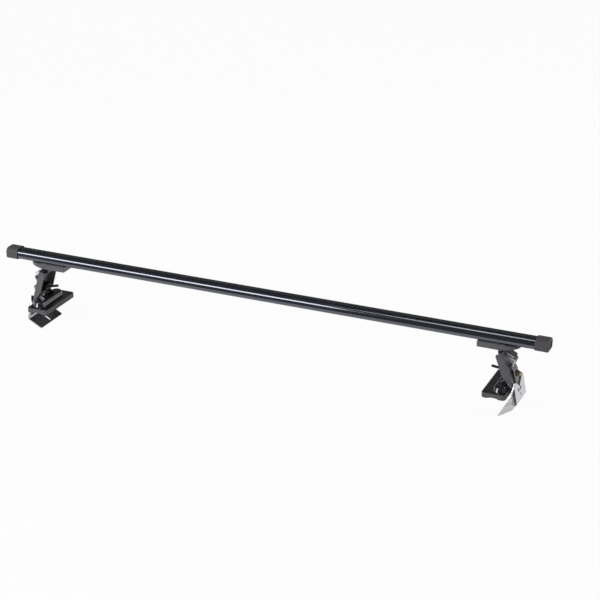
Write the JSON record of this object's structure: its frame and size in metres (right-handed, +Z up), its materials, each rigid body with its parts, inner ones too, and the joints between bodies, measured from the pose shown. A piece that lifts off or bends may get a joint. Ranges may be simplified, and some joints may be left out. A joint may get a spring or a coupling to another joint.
{
  "type": "roof rack crossbar",
  "caption": "Black steel crossbar for a car roof with tilting legs, rubber pads and bolt-drawn hooks that clamp on the door frames.",
  "frame": {"origin": "middle of the bar's section at half its length", "axes": "+X along the bar to the right foot, +Y level across the bar, +Z up"},
  "size_m": [1.27, 0.126, 0.1714],
  "materials": {
    "gloss_black": "gloss",
    "satin_grey": "satin",
    "satin_black": "satin",
    "zinc": "zinc plated",
    "yellow_zinc": "yellow passivated zinc",
    "cap_plastic": "matte",
    "rubber": "matte"
  },
  "bodies": {
    "bar": {"bar": "gloss_black", "end_cap_left": "cap_plastic", "end_cap_right": "cap_plastic"},
    "carriage_left": {"saddle_left": "satin_grey", "saddle_liner_left": "rubber", "clamp_plate_left": "zinc", "clamp_screws_left": "zinc", "hanger_left": "satin_black"},
    "leg_left": {"leg_left": "satin_grey", "leg_pin_left": "satin_grey", "pad_pin_left": "satin_grey", "swivel_bracket_left": "satin_black"},
    "hook_left": {"arm_left": "satin_grey", "hook_left": "zinc", "hook_rivets_left": "zinc", "clamp_washer_left": "yellow_zinc"},
    "bolt_left": {"clamp_bolt_left": "yellow_zinc"},
    "nut_left": {"nut_block_left": "satin_black"},
    "foot_left": {"hood_left": "gloss_black", "pad_left": "rubber", "pad_studs_left": "satin_black"},
    "carriage_right": {"saddle_right": "satin_grey", "saddle_liner_right": "rubber", "clamp_plate_right": "zinc", "clamp_screws_right": "zinc", "hanger_right": "satin_black"},
    "leg_right": {"leg_right": "satin_grey", "leg_pin_right": "satin_grey", "pad_pin_right": "satin_grey", "swivel_bracket_right": "satin_black"},
    "hook_right": {"arm_right": "satin_grey", "hook_right": "zinc", "hook_rivets_right": "zinc", "clamp_washer_right": "yellow_zinc"},
    "bolt_right": {"clamp_bolt_right": "yellow_zinc"},
    "nut_right": {"nut_block_right": "satin_black"},
    "foot_right": {"hood_right": "gloss_black", "pad_right": "rubber", "pad_studs_right": "satin_black"}
  },
  "joints": [
    {"name": "foot_slide_left", "type": "slide", "parent": "bar", "child": "carriage_left", "axis": [-1, 0, 0], "range_m": [-0.22, 0.03]},
    {"name": "leg_tilt_left", "type": "hinge", "parent": "carriage_left", "child": "leg_left", "pos_m": [-0.538, 0, -0.035], "axis": [0, 1, 0], "range_deg": [-10, 14]},
    {"name": "hook_swing_left", "type": "hinge", "parent": "leg_left", "child": "hook_left", "pos_m": [-0.54974, 0, -0.03553], "axis": [0, 1, 0], "range_deg": [-0.5, 7]},
    {"name": "bolt_turn_left", "type": "hinge", "parent": "hook_left", "child": "bolt_left", "pos_m": [-0.56292, 0, -0.07802], "axis": [-0.9728, 0, -0.2317], "range_deg": [-121.2, 1684.3]},
    {"name": "nut_turn_left", "type": "hinge", "parent": "leg_left", "child": "nut_left", "pos_m": [-0.54087, 0, -0.07276], "axis": [0, 1, 0], "range_deg": [-0.6, 7.1]},
    {"name": "pad_tilt_left", "type": "hinge", "parent": "leg_left", "child": "foot_left", "pos_m": [-0.55285, 0, -0.08848], "axis": [0, 1, 0], "range_deg": [-10, 2]},
    {"name": "foot_slide_right", "type": "slide", "parent": "bar", "child": "carriage_right", "axis": [1, 0, 0], "range_m": [-0.22, 0.03]},
    {"name": "leg_tilt_right", "type": "hinge", "parent": "carriage_right", "child": "leg_right", "pos_m": [0.538, 0, -0.035], "axis": [0, -1, 0], "range_deg": [-16.5, 7.5]},
    {"name": "hook_swing_right", "type": "hinge", "parent": "leg_right", "child": "hook_right", "pos_m": [0.54972, 0, -0.0342], "axis": [0, -1, 0], "range_deg": [-0.5, 7]},
    {"name": "bolt_turn_right", "type": "hinge", "parent": "hook_right", "child": "bolt_right", "pos_m": [0.56763, 0, -0.07492], "axis": [0.9928, 0, -0.1201], "range_deg": [-121.2, 1684.3]},
    {"name": "nut_turn_right", "type": "hinge", "parent": "leg_right", "child": "nut_right", "pos_m": [0.54512, 0, -0.07219], "axis": [0, -1, 0], "range_deg": [-0.6, 7.1]},
    {"name": "pad_tilt_right", "type": "hinge", "parent": "leg_right", "child": "foot_right", "pos_m": [0.55881, 0, -0.08646], "axis": [0, -1, 0], "range_deg": [-10, 9]}
  ],
  "couplings": [
    {"joint": "bolt_turn_left", "follows": "hook_swing_left", "ratio": 240.48},
    {"joint": "nut_turn_left", "follows": "hook_swing_left", "ratio": 1},
    {"joint": "bolt_turn_right", "follows": "hook_swing_right", "ratio": 240.48},
    {"joint": "nut_turn_right", "follows": "hook_swing_right", "ratio": 1}
  ]
}
